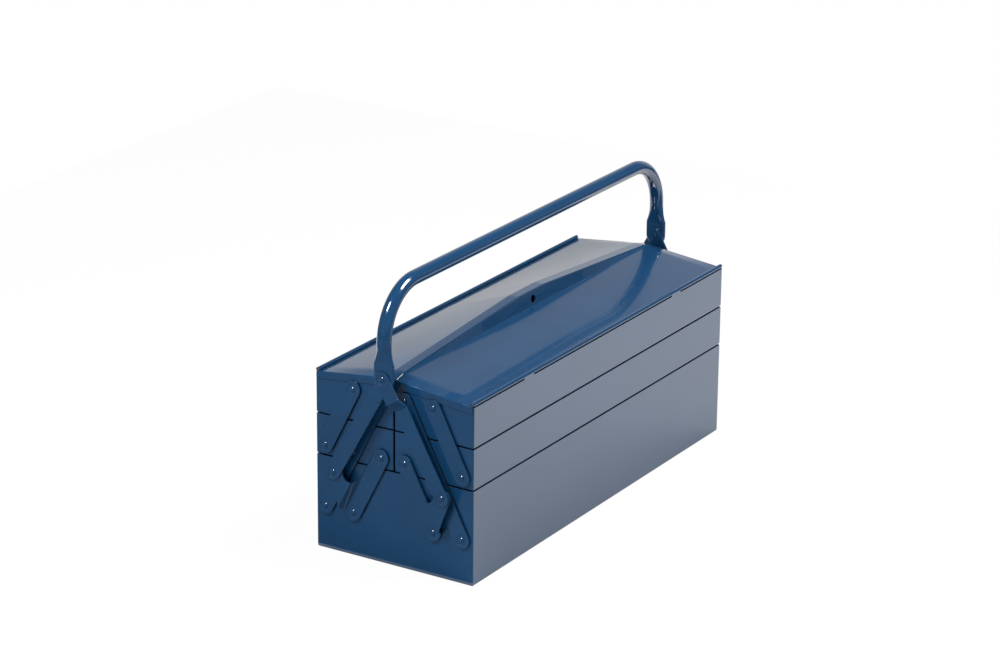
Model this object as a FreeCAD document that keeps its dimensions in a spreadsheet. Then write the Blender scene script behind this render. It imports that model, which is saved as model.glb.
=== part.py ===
# Cantilever toolbox of painted sheet steel, closed, with its carrying handle upright.
# Five trays: a deep base and two tiers of two, carried on riveted arms at both ends.
# X runs along the box, Y across it with the front at -Y, and Z up from the floor.
import FreeCAD, Part
import math
import os
import Sketcher

os.makedirs("parts", exist_ok=True)
doc = FreeCAD.newDocument("toolbox")

# Driving sizes in millimetres, each written once
SIZES = {
    # Trays
    "box_length": 540,
    "box_width": 200,
    "base_height": 108.5,
    "tray_height": 46.5,
    "seam_gap": 0.7,
    "middle_gap": 2,
    "sheet_thickness": 0.8,
    "fold_radius": 1.6,
    "corner_radius": 0.4,
    "hem_height": 8,
    "gable_rise": 9.2,
    # Pivots of the arms: in from the outer wall, out from the middle, and shares of a tier's height
    "outer_pivot_margin": 13,
    "inner_pivot_y": 15,
    "base_pivot_drop_share": 1.197,
    "pivot_rise_share": 1.4979,
    # Arms and links
    "bar_width": 19,
    "bar_thickness": 2,
    "bar_standoff": 1.3,
    "boss_radius": 6.5,
    "boss_height": 1,
    "dish_depth": 0.4,
    # Lobe of the lower links that the handle arms pull on
    "lobe_along": 33.6,
    "lobe_across": 37.2,
    "lobe_standoff": 10.4,
    "bend_start": 10,
    "bend_end": 15.5,
    "notch_radius": 9.7,
    "notch_along": 43,
    # Handle arms
    "handle_pivot_rise": 18.2,
    "arm_width": 17,
    "arm_gap": 0.2,
    "outer_joggle_start": 26,
    "outer_joggle_run": 10,
    "inner_joggle_start": 30,
    "inner_joggle_run": 2,
    "inner_arm_step": 1,
    # Handle
    "handle_rise": 95.9,
    "tube_diameter": 16,
    "tube_wall": 1.2,
    "handle_bend_share": 0.6,
    "flat_width": 25,
    "flat_thickness": 5,
    "flat_top": 16,
    # Rivets
    "shank_radius": 1.9,
    "head_radius": 3.4,
    "head_height": 1.8,
    "tail_radius": 3.4,
    "tail_height": 1.2,
    "running_clearance": 0.05,
    # Lids
    "lid_side_gap": 0.2,
    "lid_lift": 0.5,
    "lid_flange_depth": 8.5,
    "pin_radius": 1.5,
    "knuckle_start": 150,
    "knuckle_end": 170,
    "knuckle_gap": 0.5,
    "crease_y": 8,
    "flange_lean": 3,
    "tab_half_length": 27,
    "lid_shoulder": 15,
    "ridge_rise": 31.8,
    "ridge_shoulder_rise": 14.6,
    "ridge_end_rise": 10.2,
    "crease_rise": 14.8,
    "crease_shoulder_rise": 13.3,
    "crease_end_rise": 9.4,
    "meeting_gap": 0.5,
    "strip_drop": 0.4,
    "hook_depth": 15,
    "hook_shoulder_depth": 3.5,
    "hook_end_depth": 2.4,
    "padlock_radius": 4.75,
    "padlock_height": 22.1,
    # One overrun for every cut that has to pass right through
    "cut_overrun": 5,
}


class Size:
    """A size with its value now and the expression that ties it to the sheet."""

    def __init__(self, text, value):
        self.text = text
        self.value = value

    def __add__(self, other):
        other = as_size(other)
        return Size(f"({self.text} + {other.text})", self.value + other.value)

    def __sub__(self, other):
        other = as_size(other)
        return Size(f"({self.text} - {other.text})", self.value - other.value)

    def __mul__(self, other):
        other = as_size(other)
        return Size(f"({self.text} * {other.text})", self.value * other.value)

    def __truediv__(self, other):
        other = as_size(other)
        return Size(f"({self.text} / {other.text})", self.value / other.value)

    def __neg__(self):
        return Size(f"(0 - {self.text})", -self.value)

    __rmul__ = __mul__


def as_size(item):
    return item if isinstance(item, Size) else Size(str(item), item)


def hypotenuse(across, up):
    return Size(f"sqrt({across.text} ^ 2 + {up.text} ^ 2)", math.hypot(across.value, up.value))


def slope_angle(across, up):
    return Size(f"atan({across.text} / {up.text})", math.degrees(math.atan(across.value / up.value)))


def cosine_of(angle):
    return Size(f"cos({angle.text})", math.cos(math.radians(angle.value)))


def sine_of(angle):
    return Size(f"sin({angle.text})", math.sin(math.radians(angle.value)))


sheet = doc.addObject("Spreadsheet::Sheet", "sizes")
for row, (alias, number) in enumerate(SIZES.items(), 1):
    sheet.set(f"A{row}", alias)
    sheet.set(f"B{row}", str(number))
    sheet.setAlias(f"B{row}", alias)
doc.recompute()


def size(alias):
    return Size(f"sizes.{alias}", float(sheet.get(alias)))


def bind(item, path, length):
    item.setExpression(path, as_size(length).text)


# Sketches, pads and pockets on a body's own planes
def sketch_on(body, name, plane, lift):
    sketch = body.newObject("Sketcher::SketchObject", name)
    support = next(item for item in body.Origin.OriginFeatures if item.Role == plane)
    sketch.AttachmentSupport = [(support, "")]
    sketch.MapMode = "FlatFace"
    bind(sketch, "AttachmentOffset.Base.z", lift)
    return sketch


def pin_point(sketch, geometry, end, point):
    for kind, coordinate in zip(("DistanceX", "DistanceY"), point):
        place = as_size(coordinate)
        index = sketch.addConstraint(Sketcher.Constraint(kind, -1, 1, geometry, end, place.value))
        bind(sketch, f"Constraints[{index}]", place)


def set_radius(sketch, geometry, radius):
    index = sketch.addConstraint(Sketcher.Constraint("Radius", geometry, radius.value))
    bind(sketch, f"Constraints[{index}]", radius)


def vector(point):
    across, up = (as_size(item).value for item in point)
    return FreeCAD.Vector(across, up, 0)


def add_polygon(sketch, points):
    """A closed outline of straight lines with every corner tied to its sizes."""
    first = len(sketch.Geometry)
    following = points[1:] + points[:1]
    for start, finish in zip(points, following):
        sketch.addGeometry(Part.LineSegment(vector(start), vector(finish)), False)
    for index, point in enumerate(points):
        after = (index + 1) % len(points)
        sketch.addConstraint(Sketcher.Constraint("Coincident", first + index, 2, first + after, 1))
        pin_point(sketch, first + index, 1, point)


def add_circle(sketch, centre, radius):
    axis = FreeCAD.Vector(0, 0, 1)
    index = sketch.addGeometry(Part.Circle(vector(centre), axis, radius.value), False)
    pin_point(sketch, index, 3, centre)
    set_radius(sketch, index, radius)


def add_slot(sketch, start, finish, radius):
    """A bar with round ends about two centres, the second one anticlockwise of the first."""
    first = len(sketch.Geometry)
    axis = FreeCAD.Vector(0, 0, 1)
    run = vector(finish) - vector(start)
    side = axis.cross(run).normalize() * radius.value
    heading = math.atan2(run.y, run.x)
    quarter = math.pi / 2
    low = Part.Circle(vector(start), axis, radius.value)
    high = Part.Circle(vector(finish), axis, radius.value)
    sketch.addGeometry(Part.ArcOfCircle(low, heading + quarter, heading + 3 * quarter), False)
    sketch.addGeometry(Part.LineSegment(vector(start) - side, vector(finish) - side), False)
    sketch.addGeometry(Part.ArcOfCircle(high, heading - quarter, heading + quarter), False)
    sketch.addGeometry(Part.LineSegment(vector(finish) + side, vector(start) + side), False)
    for step in range(4):
        after = (step + 1) % 4
        sketch.addConstraint(Sketcher.Constraint("Tangent", first + step, 2, first + after, 1))
    pin_point(sketch, first, 3, start)
    pin_point(sketch, first + 2, 3, finish)
    set_radius(sketch, first, radius)


def new_body(label):
    body = doc.addObject("PartDesign::Body", label)
    body.Label = label
    return body


def pad(body, sketch, length, symmetric=False):
    feature = body.newObject("PartDesign::Pad", sketch.Name + "_pad")
    feature.Profile = sketch
    feature.SideType = "Symmetric" if symmetric else "One side"
    bind(feature, "Length", length)
    return feature


def pocket(body, sketch, length, symmetric=False):
    """A cut that runs the way the sketch faces, checked by the volume that it takes away."""
    before = body.Shape.Volume
    feature = body.newObject("PartDesign::Pocket", sketch.Name + "_pocket")
    feature.Profile = sketch
    feature.SideType = "Symmetric" if symmetric else "One side"
    feature.Reversed = not symmetric
    bind(feature, "Length", length)
    doc.recompute()
    if not body.Shape.Volume < before:
        raise RuntimeError(f"{feature.Name} cuts nothing")
    return feature


def put(item, x, y, z, turn):
    """Places a piece at a pivot and leans it about the box's long axis."""
    axis = FreeCAD.Vector(1, 0, 0)
    start = FreeCAD.Vector(0, 0, 0)
    item.Placement = FreeCAD.Placement(start, FreeCAD.Rotation(axis, as_size(turn).value))
    bind(item, "Placement.Base.x", x)
    bind(item, "Placement.Base.y", y)
    bind(item, "Placement.Base.z", z)
    bind(item, "Placement.Rotation.Angle", turn)


nodes = []

SIDES = {"front": -1, "rear": 1}
ENDS = {"left": -1, "right": 1}

# Sizes that several pieces share
half_length = size("box_length") / 2
half_width = size("box_width") / 2
wall = size("sheet_thickness")
overrun = size("cut_overrun")
middle_floor = size("base_height") + size("seam_gap")
upper_floor = middle_floor + size("tray_height") + size("seam_gap")
upper_rim = upper_floor + size("tray_height")
tier = size("tray_height") + size("seam_gap")
outer_pivot_y = half_width - size("outer_pivot_margin")
pivot_pitch = (outer_pivot_y - size("inner_pivot_y")) / 2
pivot_rise = tier * size("pivot_rise_share")
pivot_ys = [outer_pivot_y - pivot_pitch * step for step in range(3)]
base_pivot_z = size("base_height") - tier * size("base_pivot_drop_share")
pivot_zs = [base_pivot_z + pivot_rise * step for step in range(3)]
link_length = hypotenuse(pivot_pitch, pivot_rise)
lean = slope_angle(pivot_pitch, pivot_rise)
handle_pivot_z = upper_rim + size("handle_pivot_rise")
shank = size("shank_radius")
rivet_hole = shank + size("running_clearance")

# Hinge line of the lids: a wire pin in rolled knuckles, above each tray's outer rim
knuckle = size("pin_radius") + size("running_clearance") + wall
pin_y = half_width - knuckle
pin_z = upper_rim + size("lid_lift") + knuckle
lid_edge_z = pin_z - knuckle + wall


def edges_of(feature, wanted):
    """Names of a feature's edges whose two ends pass a test."""
    names = []
    for index, edge in enumerate(feature.Shape.Edges, 1):
        ends = [vertex.Point for vertex in edge.Vertexes]
        if len(ends) == 2 and wanted(ends[0], ends[1]):
            names.append(f"Edge{index}")
    return names


def same(first, second):
    return abs(first - second) < FreeCAD.Base.Precision.confusion()


def is_upright(start, finish):
    return same(start.x, finish.x) and same(start.y, finish.y)


def is_level_at(height):
    """A test for edges that lie at one height."""
    return lambda start, finish: same(start.z, height.value) and same(finish.z, height.value)


def round_edges(body, feature, radius, wanted):
    doc.recompute()
    fillet = body.newObject("PartDesign::Fillet", feature.Name + "_round")
    fillet.Base = (feature, edges_of(feature, wanted))
    bind(fillet, "Radius", radius)
    doc.recompute()
    return fillet


def round_folds(body, block, corner_radius, fold_radius, floor_z):
    """Rounds a block's upright corners, then the folds round its floor."""
    upright = round_edges(body, block, corner_radius, is_upright)
    round_edges(body, upright, fold_radius, is_level_at(floor_z))


def tray(label, profile, floor_z, pivots):
    """A folded tray: floor, four walls, hems along both long walls and holes for its rivets.

    The profile goes round the end wall from the outer foot: two feet, then two rims.
    """
    low_y, high_y = sorted((profile[0][0], profile[1][0]), key=lambda item: item.value)
    reach = half_length - wall
    inside = new_body(label + "_inside")
    plan = sketch_on(inside, label + "_plan", "XY_Plane", floor_z + wall)
    add_polygon(plan, [(-reach, low_y + wall), (reach, low_y + wall),
                       (reach, high_y - wall), (-reach, high_y - wall)])
    block = pad(inside, plan, profile[2][1] - floor_z)
    round_folds(inside, block, size("corner_radius"), size("fold_radius"), floor_z + wall)

    body = new_body(label)
    outline = sketch_on(body, label + "_profile", "YZ_Plane", 0)
    add_polygon(outline, profile)
    block = pad(body, outline, size("box_length"), symmetric=True)
    round_folds(body, block, size("corner_radius") + wall, size("fold_radius") + wall, floor_z)
    hollow = body.newObject("PartDesign::Boolean", label + "_hollow")
    hollow.Type = "Cut"
    hollow.setObjects([inside])
    doc.recompute()

    hems = sketch_on(body, label + "_hems", "YZ_Plane", 0)
    for (rim_y, rim_z), inward in zip(profile[2:], (profile[3][0], profile[2][0])):
        into = 1 if as_size(inward).value > as_size(rim_y).value else -1
        near = rim_y + wall * into
        far = near + wall * into
        low = rim_z - size("hem_height")
        corners = [(near, low), (far, low), (far, rim_z), (near, rim_z)]
        add_polygon(hems, corners if into > 0 else corners[::-1])
    pad(body, hems, size("box_length") - wall * 2, symmetric=True)
    doc.recompute()

    holes = sketch_on(body, label + "_rivet_holes", "YZ_Plane", 0)
    for place in pivots:
        add_circle(holes, place, shank)
    pocket(body, holes, size("box_length") + overrun * 2, symmetric=True)
    nodes.append(body)
    return body


# Base box: the deep bottom tray that everything else is riveted to
base_pivots = [(pivot_ys[row] * side, pivot_zs[0]) for side in SIDES.values() for row in range(2)]
base_top = size("base_height")
tray("base_box",
     [(-half_width, as_size(0)), (half_width, as_size(0)), (half_width, base_top), (-half_width, base_top)],
     as_size(0), base_pivots)


def knuckle_spans():
    """The two stretches of the hinge that belong to the tray."""
    start, finish = size("knuckle_start"), size("knuckle_end")
    return [(-finish, -start), (start, finish)]


def add_tray_knuckles(body, side):
    """Rolled tabs that rise from the outer wall and hold the hinge pin."""
    for index, (start, finish) in enumerate(knuckle_spans()):
        tab = sketch_on(body, f"{body.Label}_tab_{index}", "YZ_Plane", start)
        outer, inner = half_width * side, (half_width - wall) * side
        corners = [(outer, upper_rim - wall), (outer, pin_z), (inner, pin_z), (inner, upper_rim - wall)]
        add_polygon(tab, corners)
        pad(body, tab, finish - start)
        roll = sketch_on(body, f"{body.Label}_roll_{index}", "YZ_Plane", start)
        add_circle(roll, (pin_y * side, pin_z), knuckle)
        pad(body, roll, finish - start)
    doc.recompute()
    bore = sketch_on(body, body.Label + "_pin_bore", "YZ_Plane", 0)
    add_circle(bore, (pin_y * side, pin_z), size("pin_radius"))
    pocket(body, bore, size("box_length"), symmetric=True)


# Middle and upper trays: two of each, side by side, the upper ones with gabled ends
for name, side in SIDES.items():
    outer = half_width * side
    inner = size("middle_gap") / 2 * side
    middle_rim = middle_floor + size("tray_height")
    tray(f"{name}_middle_tray",
         [(outer, middle_floor), (inner, middle_floor), (inner, middle_rim), (outer, middle_rim)],
         middle_floor, [(place * side, pivot_zs[1]) for place in pivot_ys])
    gable = upper_rim + size("gable_rise")
    upper = tray(f"{name}_upper_tray",
                 [(outer, upper_floor), (inner, upper_floor), (inner, gable), (outer, upper_rim)],
                 upper_floor, [(place * side, pivot_zs[2]) for place in pivot_ys[1:]])
    add_tray_knuckles(upper, side)

    # Hinge pin: a straight wire through the whole hinge line
    hinge_pin = new_body(f"{name}_hinge_pin")
    wire = sketch_on(hinge_pin, f"{name}_wire", "YZ_Plane", 0)
    add_circle(wire, (pin_y * side, pin_z), size("pin_radius"))
    pad(hinge_pin, wire, size("box_length"), symmetric=True)
    nodes.append(hinge_pin)


def lid_stations():
    """Places along the lid where its fold changes height, with the name of the heights there."""
    end = half_length + size("lid_side_gap") + wall
    shoulder = half_length - size("lid_shoulder")
    tab = size("tab_half_length")
    return [(-end, "end"), (-shoulder, "shoulder"), (-tab, "middle"),
            (tab, "middle"), (shoulder, "shoulder"), (end, "end")]


RISES = {
    "middle": ("ridge_rise", "crease_rise", "hook_depth"),
    "shoulder": ("ridge_shoulder_rise", "crease_shoulder_rise", "hook_shoulder_depth"),
    "end": ("ridge_end_rise", "crease_end_rise", "hook_end_depth"),
}


def front_section(where):
    """Front lid: a sloping sheet, then a stiffening flange bent up beside the middle."""
    ridge, crease, _ = (size(item) for item in RISES[where])
    fold = size("crease_y")
    top = lid_edge_z + ridge + size("strip_drop")
    edge = fold - size("flange_lean")
    return [(-pin_y, lid_edge_z), (-fold, lid_edge_z + crease), (-edge, top),
            (wall - edge, top), (wall - fold, lid_edge_z + crease - wall), (-pin_y, lid_edge_z - wall)]


def rear_section(where):
    """Rear lid: it rises to the ridge, runs level past the middle and hooks down behind the flange."""
    ridge, _, hook = (size(item) for item in RISES[where])
    fold = size("crease_y")
    top = lid_edge_z + ridge
    edge = fold - size("flange_lean") - wall - size("meeting_gap")
    back = edge + hook * size("flange_lean") / (size("ridge_rise") + size("strip_drop") - size("crease_rise"))
    return [(pin_y, lid_edge_z), (fold, top), (-edge, top), (-back, top - hook),
            (wall - back, top - hook), (wall - edge, top - wall),
            (fold, top - wall), (pin_y, lid_edge_z - wall)]


def lid(label, side, section):
    """A pressed lid with rolled hinge knuckles, down-turned ends and a hole for a padlock."""
    body = new_body(label)
    sections = []
    for index, (place, where) in enumerate(lid_stations()):
        sketch = sketch_on(body, f"{label}_section_{index}", "YZ_Plane", place)
        add_polygon(sketch, section(where))
        sections.append(sketch)
    doc.recompute()
    skin = body.newObject("PartDesign::AdditiveLoft", label + "_skin")
    skin.Profile = sections[0]
    skin.Sections = sections[1:]
    skin.Ruled = True
    doc.recompute()

    # Ends bent down outside the tray's end walls
    outline = section("end")
    bend = [outline[0], outline[1], outline[2]]
    reach = [(corner[0], corner[1] - size("lid_flange_depth")) for corner in bend[::-1]]
    for tag, start in (("left", -half_length - size("lid_side_gap") - wall),
                       ("right", half_length + size("lid_side_gap"))):
        flange = sketch_on(body, f"{label}_{tag}_flange", "YZ_Plane", start)
        add_polygon(flange, bend + reach)
        pad(body, flange, wall)
    doc.recompute()

    # Sheet cut back round the tray's knuckles
    for index, (start, finish) in enumerate(knuckle_spans()):
        gap = size("knuckle_gap")
        notch = sketch_on(body, f"{label}_notch_{index}", "YZ_Plane", start - gap)
        inner, outer = (pin_y - knuckle - gap) * side, (half_width + overrun) * side
        add_polygon(notch, [(inner, upper_rim), (outer, upper_rim), (outer, pin_z), (inner, pin_z)])
        pocket(body, notch, finish - start + gap * 2)

    # Rolled knuckles of the lid between and beyond those of the tray
    end = half_length + size("lid_side_gap") + wall
    (low_start, low_finish), (high_start, high_finish) = knuckle_spans()
    gap = size("knuckle_gap")
    spans = [(-end, low_start - gap), (low_finish + gap, high_start - gap), (high_finish + gap, end)]
    for index, (start, finish) in enumerate(spans):
        roll = sketch_on(body, f"{label}_roll_{index}", "YZ_Plane", start)
        add_circle(roll, (pin_y * side, pin_z), knuckle)
        pad(body, roll, finish - start)
    doc.recompute()
    bore = sketch_on(body, label + "_pin_bore", "YZ_Plane", 0)
    add_circle(bore, (pin_y * side, pin_z), size("pin_radius") + size("running_clearance"))
    pocket(body, bore, end * 2, symmetric=True)

    # Padlock hole through the meeting flanges
    lock = sketch_on(body, label + "_padlock_hole", "XZ_Plane", 0)
    add_circle(lock, (0, lid_edge_z + size("padlock_height")), size("padlock_radius"))
    pocket(body, lock, size("crease_y"))
    nodes.append(body)


lid("front_lid", -1, front_section)
lid("rear_lid", 1, rear_section)


def outward(end, low, high):
    """Where a layer between two distances from the end wall starts along X."""
    return low if end > 0 else -high


def layer(body, name, end, low, high, draw):
    sketch = sketch_on(body, name, "YZ_Plane", outward(end, low, high))
    draw(sketch)
    return pad(body, sketch, high - low)


def layer_cut(body, name, end, low, high, draw):
    sketch = sketch_on(body, name, "YZ_Plane", outward(end, low, high))
    draw(sketch)
    return pocket(body, sketch, high - low)


# Layers outward from the end wall, in the order they are stacked
bar_back = size("bar_standoff")
bar_face = bar_back + size("bar_thickness")
lobe_back = size("lobe_standoff")
lobe_face = lobe_back + size("bar_thickness")
arm_back = lobe_face + size("arm_gap")
arm_face = arm_back + size("bar_thickness")
inner_top_back = arm_back + size("inner_arm_step")
flat_back = inner_top_back + size("bar_thickness") + size("arm_gap")
flat_face = flat_back + size("flat_thickness")
outer_top_back = flat_face + size("arm_gap")
outer_top_face = outer_top_back + size("bar_thickness")


def drill(body, name, end, places, back, face):
    """Running holes, each in a pressed dish under its rivet's head."""
    def draw_holes(sketch):
        for place in places:
            add_circle(sketch, place, rivet_hole)

    def draw_dishes(sketch):
        for place in places:
            add_circle(sketch, place, size("boss_radius"))

    layer_cut(body, name + "_dishes", end, face - size("dish_depth"), face + overrun, draw_dishes)
    layer_cut(body, name + "_holes", end, back - size("boss_height") - overrun, face + overrun, draw_holes)


def add_bosses(body, name, end, places):
    """Pressed rings that hold a bar off the wall behind it."""
    def draw(sketch):
        for place in places:
            add_circle(sketch, place, size("boss_radius"))

    layer(body, name + "_bosses", end, bar_back - size("boss_height"), bar_back, draw)
    doc.recompute()


def straight_bar(label, end, length, holes):
    body = new_body(label)
    radius = size("bar_width") / 2
    layer(body, label + "_bar", end, bar_back, bar_face,
          lambda sketch: add_slot(sketch, (0, 0), (0, length), radius))
    places = [(0, place) for place in holes]
    add_bosses(body, label, end, places)
    drill(body, label, end, places, bar_back, bar_face)
    nodes.append(body)
    return body


# Long arms: from the base's outer rivet past the middle tray to the upper tray's inner rivet
# Upper links: from the middle tray's outer rivet to the upper tray's outer rivet
for side_name, side in SIDES.items():
    for end_name, end in ENDS.items():
        long_arm = straight_bar(f"{side_name}_long_arm_{end_name}", end, link_length * 2,
                                [as_size(0), link_length, link_length * 2])
        put(long_arm, half_length * end, pivot_ys[0] * side, pivot_zs[0], lean * side)
        upper_link = straight_bar(f"{side_name}_upper_link_{end_name}", end, link_length,
                                  [as_size(0), link_length])
        put(upper_link, half_length * end, pivot_ys[0] * side, pivot_zs[1], lean * side)


def bend_shift(run, rise):
    """How far the outer face of a joggle bends before the inner one, for an even thickness."""
    return size("bar_thickness") * (hypotenuse(run, rise) - run) / rise


def bent_plate(label, strip, outline):
    """A bent strip of plate trimmed to its outline."""
    plate = doc.addObject("Part::Common", label)
    plate.Label = label
    plate.Base = strip
    plate.Tool = outline
    doc.recompute()
    nodes.append(plate)
    return plate


def lower_link(label, side, end):
    """A bar whose lobe is joggled outward over the long arm, where the handle arm takes hold of it."""
    radius = size("bar_width") / 2
    across = size("lobe_across") * side
    lobe = (across, size("lobe_along"))
    reach = (size("lobe_across") + radius) * side
    start, finish = size("bend_start") * side, size("bend_end") * side

    strip = new_body(label + "_strip")
    bend = sketch_on(strip, label + "_bend", "XY_Plane", -radius)
    thick = size("bar_thickness") * end
    low, high = bar_back * end, lobe_back * end
    early = bend_shift(size("bend_end") - size("bend_start"), lobe_back - bar_back) * side
    add_polygon(bend, [(low, -radius * side), (low + thick, -radius * side), (low + thick, start - early),
                       (high + thick, finish - early), (high + thick, reach), (high, reach),
                       (high, finish), (low, start)])
    pad(strip, bend, link_length + radius * 2)
    ends = [(0, as_size(0)), (0, link_length)]
    add_bosses(strip, label, end, ends)
    drill(strip, label, end, ends, bar_back, bar_face)
    drill(strip, label + "_lobe", end, [lobe], lobe_back, lobe_face)

    outline = new_body(label + "_outline")
    back, face = bar_back - size("boss_height"), lobe_face
    layer(outline, label + "_bar", end, back, face,
          lambda sketch: add_slot(sketch, (0, 0), (0, link_length), radius))
    layer(outline, label + "_ear", end, back, face,
          lambda sketch: add_slot(sketch, (0, 0), lobe, radius))
    layer(outline, label + "_web", end, back, face,
          lambda sketch: add_polygon(sketch, [(0, as_size(0)), lobe, (0, size("notch_along"))]))
    doc.recompute()
    centre = ((radius + size("notch_radius")) * side, size("notch_along"))
    layer_cut(outline, label + "_notch", end, back - overrun, face + overrun,
              lambda sketch: add_circle(sketch, centre, size("notch_radius")))
    return bent_plate(label, strip, outline)


# Lower links: from the base's inner rivet to the middle tray's inner rivet
for side_name, side in SIDES.items():
    for end_name, end in ENDS.items():
        link = lower_link(f"{side_name}_lower_link_{end_name}", side, end)
        put(link, half_length * end, pivot_ys[1] * side, pivot_zs[0], lean * side)

# Lobe rivets stand where the lobes are when the box is closed
lobe_y = pivot_ys[1] - size("lobe_along") * sine_of(lean) + size("lobe_across") * cosine_of(lean)
lobe_z = pivot_zs[0] + size("lobe_along") * cosine_of(lean) + size("lobe_across") * sine_of(lean)
arm_drop = handle_pivot_z - lobe_z
arm_length = hypotenuse(lobe_y, arm_drop)
arm_angle = slope_angle(lobe_y, arm_drop)


def handle_arm(label, end, top_back, joggle_start, joggle_run):
    """A joggled arm that hangs from the handle's rivet and ends on a lower link's lobe."""
    radius = size("arm_width") / 2
    strip = new_body(label + "_strip")
    bend = sketch_on(strip, label + "_bend", "XZ_Plane", 0)
    thick = size("bar_thickness") * end
    top, foot = top_back * end, arm_back * end
    start = -joggle_start
    finish = start - joggle_run
    early = bend_shift(joggle_run, top_back - arm_back)
    add_polygon(bend, [(top, radius), (top, start), (foot, finish), (foot, -arm_length - radius),
                       (foot + thick, -arm_length - radius), (foot + thick, finish - early),
                       (top + thick, start - early), (top + thick, radius)])
    pad(strip, bend, size("arm_width"), symmetric=True)
    doc.recompute()
    drill(strip, label + "_top", end, [(0, as_size(0))], top_back, top_back + size("bar_thickness"))
    drill(strip, label + "_foot", end, [(0, -arm_length)], arm_back, arm_face)
    outline = new_body(label + "_outline")
    layer(outline, label + "_slot", end, arm_back, outer_top_face,
          lambda sketch: add_slot(sketch, (0, -arm_length), (0, 0), radius))
    return bent_plate(label, strip, outline)


# Handle arms: at each end one lies inside the handle's flattened leg and one outside it
for side_name, side in SIDES.items():
    for end_name, end in ENDS.items():
        place = "outer" if side == end else "inner"
        back = outer_top_back if place == "outer" else inner_top_back
        joggle_start, joggle_run = size(f"{place}_joggle_start"), size(f"{place}_joggle_run")
        arm = handle_arm(f"{side_name}_handle_arm_{end_name}", end, back, joggle_start, joggle_run)
        put(arm, half_length * end, as_size(0), handle_pivot_z, arm_angle * side)


# Handle: a bent tube, flattened at its two ends for the rivets
handle = new_body("handle")
leg_x = half_length + flat_back + size("flat_thickness") / 2
tube_radius = size("tube_diameter") / 2
turn_radius = size("handle_rise") * size("handle_bend_share")
top_z = handle_pivot_z + size("handle_rise")
turn_start_z = top_z - turn_radius
turn_centre_x = leg_x - turn_radius
flat_end_z = handle_pivot_z + size("flat_top")

path = sketch_on(handle, "handle_path", "XZ_Plane", 0)
axis = FreeCAD.Vector(0, 0, 1)
quarter = math.pi / 2
for end in (1, -1):
    centre = (turn_centre_x * end, turn_start_z)
    circle = Part.Circle(vector(centre), axis, turn_radius.value)
    angles = (0, quarter) if end > 0 else (quarter, math.pi)
    path.addGeometry(Part.ArcOfCircle(circle, *angles), False)
top_right = (turn_centre_x, top_z)
top_left = (-turn_centre_x, top_z)
path.addGeometry(Part.LineSegment(vector(top_right), vector(top_left)), False)
path.addConstraint(Sketcher.Constraint("Tangent", 0, 2, 2, 1))
path.addConstraint(Sketcher.Constraint("Tangent", 2, 2, 1, 1))
pin_point(path, 0, 1, (leg_x, turn_start_z))
pin_point(path, 0, 3, (turn_centre_x, turn_start_z))
pin_point(path, 1, 2, (-leg_x, turn_start_z))
index = path.addConstraint(Sketcher.Constraint("DistanceX", -1, 1, 1, 3, -turn_centre_x.value))
bind(path, f"Constraints[{index}]", -turn_centre_x)
doc.recompute()


def leg_section(name, end, radii):
    """Circles about the leg's line where the round tube starts."""
    sketch = sketch_on(handle, name, "XY_Plane", turn_start_z)
    for radius in radii:
        add_circle(sketch, (leg_x * end, 0), radius)
    return sketch


ring = leg_section("handle_ring", 1, [tube_radius, tube_radius - size("tube_wall")])
doc.recompute()
tube = handle.newObject("PartDesign::AdditivePipe", "handle_tube")
tube.Profile = ring
tube.Spine = (path, ["Edge1", "Edge3", "Edge2"])
doc.recompute()


flat_radius = size("flat_thickness") / 2
flat_reach = size("flat_width") / 2 - flat_radius
for end_name, end in ENDS.items():
    shoulder = leg_section(f"handle_round_{end_name}", end, [tube_radius])
    neck = sketch_on(handle, f"handle_neck_{end_name}", "XY_Plane", flat_end_z)
    add_slot(neck, (leg_x * end, -flat_reach), (leg_x * end, flat_reach), flat_radius)
    doc.recompute()
    swage = handle.newObject("PartDesign::AdditiveLoft", f"handle_swage_{end_name}")
    swage.Profile = neck
    swage.Sections = [shoulder]
    doc.recompute()
    blade = sketch_on(handle, f"handle_blade_{end_name}", "XY_Plane", flat_end_z)
    add_slot(blade, (leg_x * end, -flat_reach), (leg_x * end, flat_reach), flat_radius)
    blade_pad = pad(handle, blade, size("flat_top"))
    blade_pad.Reversed = True
    layer(handle, f"handle_foot_{end_name}", end, half_length + flat_back, half_length + flat_face,
          lambda sketch: add_circle(sketch, (0, handle_pivot_z), size("flat_width") / 2))
    doc.recompute()
holes = sketch_on(handle, "handle_rivet_holes", "YZ_Plane", 0)
add_circle(holes, (0, handle_pivot_z), rivet_hole)
pocket(handle, holes, (leg_x + tube_radius) * 2, symmetric=True)
nodes.append(handle)


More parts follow.
